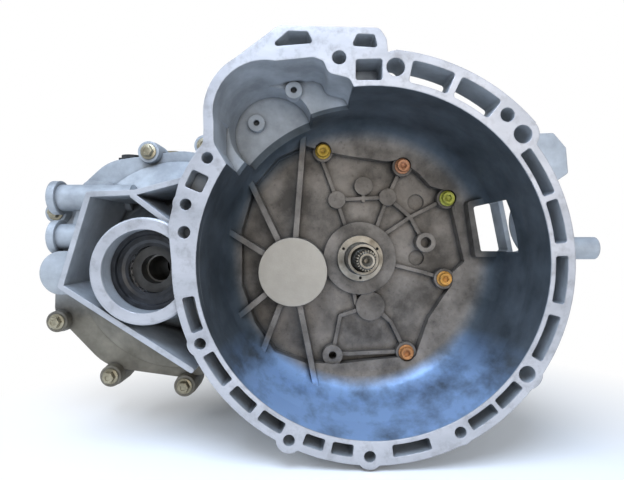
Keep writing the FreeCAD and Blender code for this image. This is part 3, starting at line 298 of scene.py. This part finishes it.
def steel_material(name, light, dark, rough, metal=0.85, stretch=None, bump=0.0001):
    s = Shader(name)
    value = s.noise(60.0, 5.0, 0.6, stretch)
    colour = s.mix(s.ramp(value, 0.3, 0.7), srgb(dark), srgb(light))
    s.relief(value, bump, 0.5, 0.0003)
    return s.finish(colour, s.blend(value, rough - 0.08, rough + 0.12), metal)


def paint_material(name, colour):
    """Brushed-on paint, worn through to the steel in places."""
    s = Shader(name)
    wear = s.ramp(s.noise(420.0, 5.0, 0.7), 0.56, 0.66)
    shade = s.mix(s.noise(150.0, 4.0, 0.6), colour, tuple(c * 0.55 for c in colour))
    s.relief(s.noise(500.0, 3.0, 0.5), 0.0002, 0.6, 0.0004)
    return s.finish(s.mix(s.math("MULTIPLY", wear, 0.7), shade, srgb("#4A4238")), 0.42, 0.25)


def rubber_material(name, light="#2B2D32", dark="#0B0B0D", rough=0.33):
    s = Shader(name)
    value = s.noise(90.0, 5.0, 0.6)
    s.relief(value, 0.0002, 0.5, 0.0003)
    return s.finish(s.mix(s.ramp(value, 0.35, 0.7), srgb(dark), srgb(light)), rough, 0.0)


def wear_material(node, material):
    """Gives a CAD node one material."""
    thing = frame["nodes"][node]
    thing.data.materials.clear()
    thing.data.materials.append(material)


# ---------------------------------------------------------------- building with bmesh
def new_piece(name, mesh_from, material, body=ROOT, replaces=(), smooth=35):
    mesh = bpy.data.meshes.new(name)
    mesh_from.to_mesh(mesh)
    mesh_from.free()
    piece = bpy.data.objects.new(name, mesh)
    bpy.context.scene.collection.objects.link(piece)
    mesh.materials.append(material)
    mesh.shade_smooth()
    bpy.context.view_layer.objects.active = piece
    mesh.set_sharp_from_angle(angle=math.radians(smooth))
    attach(piece, body)
    if replaces:
        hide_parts(*replaces)
    return piece


def basis(axis):
    """Two unit vectors across an axis."""
    axis = Vector(axis).normalized()
    side = axis.orthogonal().normalized()
    if abs(axis.y) > 0.9:
        side = Vector((1, 0, 0))
    return axis, side, axis.cross(side)


def lathe(bm, base, axis, profile, segments=48, sides=0):
    """Turns a profile of (radius, height) rings about an axis. A ring marked True has that many sides."""
    axis, u, v = basis(axis)
    rings = []
    for ring in profile:
        r, h = ring[0], ring[1]
        many = len(ring) > 2 and ring[2]
        row = []
        for i in range(segments):
            a = 2 * math.pi * i / segments
            reach = r
            if many:
                part = math.pi / sides
                reach = r * math.cos(part) / math.cos((a % (2 * part)) - part)
            row.append(bm.verts.new(Vector(base) + axis * h + (u * math.cos(a) + v * math.sin(a)) * reach))
        rings.append(row)
    for low, high in zip(rings, rings[1:]):
        for i in range(segments):
            j = (i + 1) % segments
            bm.faces.new((low[i], low[j], high[j], high[i]))
    for row in (rings[0], rings[-1]):
        bm.faces.new(row)
    bmesh.ops.recalc_face_normals(bm, faces=bm.faces)


def bolt_head(bm, at, axis, across, flange, height, socket=0.0):
    """Flanged head, hexagonal outside, or round with a hexagon socket."""
    rim = 0.18 * height
    washer = [(flange * 0.98, 0), (flange, rim * 0.5), (flange * 0.96, rim)]
    if socket:
        head = [(across * 1.04, rim * 1.4), (across, rim * 1.8), (across, height * 0.9),
                (across * 0.93, height), (socket * 1.12, height), (socket, height * 0.94, True),
                (socket, height * 0.4, True), (socket * 0.3, height * 0.3)]
    else:
        head = [(across * 1.02, rim * 1.5, True), (across, rim * 1.9, True),
                (across, height * 0.86, True), (across * 0.93, height * 0.97, True),
                (across * 0.80, height), (across * 0.45, height), (across * 0.38, height * 0.9)]
    lathe(bm, at, axis, washer + head, 48, 6)


# ---------------------------------------------------------------- settings
class TransaxleLook(bpy.types.PropertyGroup):
    machined: bpy.props.FloatVectorProperty(
        name="Machined face", description="Milled rim of the bell",
        subtype="COLOR", default=srgb("#BFBFC3"))
    casting: bpy.props.FloatVectorProperty(
        name="Casting", description="Bare casting outside the bell",
        subtype="COLOR", default=srgb("#B4BAC0"))
    # Colour of the painted shade inside the bell, high up.
    bell: bpy.props.FloatVectorProperty(
        name="Bell", description="Inside of the bell, high up",
        subtype="COLOR", default=srgb("#5A636B"))
    floor: bpy.props.FloatVectorProperty(
        name="Bell floor", description="Ribbed floor of the bell",
        subtype="COLOR", default=srgb("#8A837B"))
    # Colour of the painted blue sky reflection on the lower wall of the bell.
    painted_sky_sheen: bpy.props.FloatVectorProperty(
        name="Low wall", description="Pale blue lower wall of the bell",
        subtype="COLOR", default=srgb("#94B4DE"))
    case: bpy.props.FloatVectorProperty(
        name="Gear case", description="Lower half of the gear case",
        subtype="COLOR", default=srgb("#857F73"))


class TransaxleLight(bpy.types.PropertyGroup):
    sky: bpy.props.FloatProperty(
        name="Sky", description="Power of the light from above", default=12.0, unit="POWER")
    fill: bpy.props.FloatProperty(
        name="Fill", description="Power of the light from the front", default=5.5, unit="POWER")
    side: bpy.props.FloatProperty(
        name="Side", description="Power of the light from the left", default=5.0, unit="POWER")
    lens: bpy.props.FloatProperty(
        name="Lens", description="Focal length of the camera", default=26.22, min=10.0, unit="CAMERA")


# ---------------------------------------------------------------- operators
class TRANSAXLE_OT_castings(bpy.types.Operator):
    """Finish of the clutch housing, gear case and rear cover"""
    bl_idname = "transaxle.castings"
    bl_label = "Castings"

    def execute(self, context):
        look = context.scene.transaxle_look
        wear_material("clutch_housing", bell_material(look))
        case = case_material(look)
        for node in ("gear_case", "rear_cover"):
            wear_material(node, case)
        return {"FINISHED"}


class TRANSAXLE_OT_gear_train(bpy.types.Operator):
    """Finish of shafts, gears, bearings and forks"""
    bl_idname = "transaxle.gear_train"
    bl_label = "Gear Train"

    def execute(self, context):
        ground = steel_material("ground_steel", "#A19C92", "#5E5950", 0.34)
        gear_steel = steel_material("gear_steel", "#8E8C88", "#55534F", 0.38)
        bright = steel_material("bearing_steel", "#C9C9CB", "#8E8E90", 0.22, 0.9, (1.0, 12.0, 1.0))
        iron = steel_material("iron", "#5B5A58", "#343331", 0.55, 0.5)
        bronze = steel_material("bronze", "#B08D57", "#7C5E33", 0.4, 0.8)
        for row in frame["record"]["subparts"]:
            node, slot = row["node"], row["material_slot"]
            finish = {"steel": ground, "gear_steel": gear_steel, "bearing_steel": bright, "cast_iron": iron,
                      "bronze": bronze}.get(slot)
            if finish:
                wear_material(node, finish)
        return {"FINISHED"}


class TRANSAXLE_OT_inner_bolts(bpy.types.Operator):
    """Painted socket bolts on the floor of the bell"""
    bl_idname = "transaxle.inner_bolts"
    bl_label = "Inner Bolts"

    def execute(self, context):
        paints = {"inner_bolt_1": ("yellow_paint", "#C9A53A"), "inner_bolt_2": ("copper_paint", "#D2936A"),
                  "inner_bolt_3": ("green_paint", "#C3C552"), "inner_bolt_4": ("orange_paint", "#E0A24A"),
                  "inner_bolt_5": ("copper_paint", "#D08D52")}
        for node, (slot, code) in paints.items():
            at = centre(node)
            across, flange, height = (size * MM for size in INNER_HEAD)
            at.y = front(node) + height
            bm = bmesh.new()
            bolt_head(bm, at, (0, -1, 0), across, flange, height, INNER_SOCKET * MM)
            new_piece(node.replace("inner", "painted"), bm, paint_material("paint_" + node[-1], srgb(code)),
                      replaces=[node])
        return {"FINISHED"}


class TRANSAXLE_OT_case_bolts(bpy.types.Operator):
    """Flanged hexagon bolts of the joint and of the rear cover"""
    bl_idname = "transaxle.case_bolts"
    bl_label = "Case Bolts"

    def heads(self, node, seat, axis, sizes, name, material):
        """One head on every bolt of a node. The bolts are told apart by their tip vertices."""
        across, flange, height = (size * MM for size in sizes)
        spots = []

        def near(spot, at):
            return math.hypot(spot[0] - at.x, spot[1] - at.z) < HEADS_APART * MM

        for vert in frame["nodes"][node].data.vertices:
            if abs(vert.co.y - seat) > 0.3 * MM:
                continue
            spot = next((s for s in spots if near(s, vert.co)), None)
            if spot is None:
                spots.append([vert.co.x, vert.co.z, vert.co.x, vert.co.z])
                continue
            spot[0], spot[1] = min(spot[0], vert.co.x), min(spot[1], vert.co.z)
            spot[2], spot[3] = max(spot[2], vert.co.x), max(spot[3], vert.co.z)
        bm = bmesh.new()
        for low_x, low_z, high_x, high_z in spots:
            at = Vector(((low_x + high_x) / 2, seat, (low_z + high_z) / 2))
            bolt_head(bm, at, axis, across, flange, height)
        new_piece(name, bm, material, replaces=[node])

    def execute(self, context):
        plated = steel_material("plated_bolts", "#B5AC93", "#7D745F", 0.35, 0.7)
        low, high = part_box("case_bolts")
        self.heads("case_bolts", low[1] + JOINT_HEAD[2] * MM, (0, -1, 0), JOINT_HEAD, "joint_bolts", plated)
        low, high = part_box("cover_bolts")
        self.heads("cover_bolts", high[1] - COVER_HEAD[2] * MM, (0, 1, 0), COVER_HEAD, "rear_bolts", plated)
        for node in ("drain_plug", "filler_plug", "breather", "speed_sensor", "ring_bolts"):
            wear_material(node, plated)
        return {"FINISHED"}


class TRANSAXLE_OT_seals(bpy.types.Operator):
    """Driveshaft and selector seals"""
    bl_idname = "transaxle.seals"
    bl_label = "Seals"

    def execute(self, context):
        rubber = rubber_material("seal_rubber")
        for node in ("diff_front_seal", "diff_rear_seal", "selector_seal"):
            wear_material(node, rubber)
        return {"FINISHED"}


class TRANSAXLE_OT_switch(bpy.types.Operator):
    """Reversing lamp switch and its socket"""
    bl_idname = "transaxle.switch"
    bl_label = "Switch"

    def execute(self, context):
        plastic = rubber_material("switch_plastic", "#26272A", "#101113", 0.5)
        wear_material("reverse_switch", plastic)
        return {"FINISHED"}


def aim(thing, at, target):
    thing.location = at
    thing.rotation_euler = (Vector(target) - Vector(at)).to_track_quat("-Z", "Y").to_euler()


class TRANSAXLE_OT_stage(bpy.types.Operator):
    """Camera, lights, floor and white surroundings"""
    bl_idname = "transaxle.stage"
    bl_label = "Stage"

    def light(self, name, at, target, size, power, colour):
        data = bpy.data.lights.new(name, "AREA")
        data.shape = "DISK"
        data.size = size
        data.energy = power
        data.color = srgb(colour)
        lamp = bpy.data.objects.new(name, data)
        bpy.context.scene.collection.objects.link(lamp)
        aim(lamp, at, target)

    def floor_material(self):
        """Pale floor that takes the shadow near the object and is white further out."""
        s = Shader("white_floor")
        x, y, _ = s.xyz()
        away = s.math("SQRT", s.math("ADD", s.math("MULTIPLY", x, x), s.math("MULTIPLY", y, y)))
        camera = s.node("ShaderNodeLightPath").outputs["Is Camera Ray"]
        white = s.node("ShaderNodeEmission", {"Color": (1.0, 1.0, 1.0), "Strength": 1.0})
        both = s.node("ShaderNodeMixShader", {0: s.math("MULTIPLY", camera, s.ramp(away, *FLOOR_FADE)),
                                              1: s.bsdf.outputs[0], 2: white.outputs[0]})
        s.put(s.tree.nodes["Material Output"].inputs[0], both.outputs[0])
        return s.finish((0.95, 0.95, 0.95), 0.9, 0.0)

    def execute(self, context):
        scene = context.scene
        power = scene.transaxle_light
        camera = bpy.data.objects.new("camera", bpy.data.cameras.new("camera"))
        scene.collection.objects.link(camera)
        camera.data.lens = power.lens
        camera.data.sensor_width = 36.0
        camera.data.clip_start = 0.01
        camera.location = CAMERA_AT
        camera.rotation_euler = (math.radians(90), 0, 0)
        scene.camera = camera
        for name, (at, target, size, colour) in LAMPS.items():
            self.light(name, at, target, size, getattr(power, name), colour)
        bm = bmesh.new()
        bmesh.ops.create_grid(bm, x_segments=1, y_segments=1, size=4.0)
        mesh = bpy.data.meshes.new("floor")
        bm.to_mesh(mesh)
        bm.free()
        floor = bpy.data.objects.new("floor", mesh)
        floor.location.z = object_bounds()[0][2] - FLOOR_DROP
        scene.collection.objects.link(floor)
        mesh.materials.append(self.floor_material())
        floor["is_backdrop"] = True
        world = bpy.data.worlds.new("surroundings")
        scene.world = world
        world.use_nodes = True
        tree = world.node_tree
        ambient = tree.nodes["Background"]
        ambient.inputs["Color"].default_value = (*srgb(AMBIENT[0]), 1)
        ambient.inputs["Strength"].default_value = AMBIENT[1]
        seen = tree.nodes.new("ShaderNodeBackground")
        seen.inputs["Color"].default_value = (1, 1, 1, 1)
        path = tree.nodes.new("ShaderNodeLightPath")
        choose = tree.nodes.new("ShaderNodeMixShader")
        tree.links.new(path.outputs["Is Camera Ray"], choose.inputs[0])
        tree.links.new(ambient.outputs[0], choose.inputs[1])
        tree.links.new(seen.outputs[0], choose.inputs[2])
        tree.links.new(choose.outputs[0], tree.nodes["World Output"].inputs[0])
        scene.view_settings.view_transform = "Standard"
        return {"FINISHED"}


class TRANSAXLE_PT_panel(bpy.types.Panel):
    """Sidebar panel with every piece and the stage"""
    bl_idname = "TRANSAXLE_PT_panel"
    bl_label = "Transaxle"
    bl_space_type = "VIEW_3D"
    bl_region_type = "UI"
    bl_category = "Transaxle"

    def draw(self, context):
        for settings in (context.scene.transaxle_look, context.scene.transaxle_light):
            for name in settings.__annotations__:
                self.layout.prop(settings, name)
        for operator in OPERATORS:
            self.layout.operator(operator.bl_idname)


SETTINGS = (TransaxleLook, TransaxleLight)
OPERATORS = (TRANSAXLE_OT_castings, TRANSAXLE_OT_gear_train, TRANSAXLE_OT_inner_bolts,
             TRANSAXLE_OT_case_bolts, TRANSAXLE_OT_seals, TRANSAXLE_OT_switch, TRANSAXLE_OT_stage)


def register():
    for kind in SETTINGS + OPERATORS + (TRANSAXLE_PT_panel,):
        bpy.utils.register_class(kind)
    bpy.types.Scene.transaxle_look = bpy.props.PointerProperty(type=TransaxleLook)
    bpy.types.Scene.transaxle_light = bpy.props.PointerProperty(type=TransaxleLight)


def unregister():
    del bpy.types.Scene.transaxle_light
    del bpy.types.Scene.transaxle_look
    for kind in reversed(SETTINGS + OPERATORS + (TRANSAXLE_PT_panel,)):
        bpy.utils.unregister_class(kind)


def main():
    register()
    bpy.ops.transaxle.castings()
    bpy.ops.transaxle.gear_train()
    bpy.ops.transaxle.inner_bolts()
    bpy.ops.transaxle.case_bolts()
    bpy.ops.transaxle.seals()
    bpy.ops.transaxle.switch()
    bpy.ops.transaxle.stage()


if __name__ == "__main__":
    main()
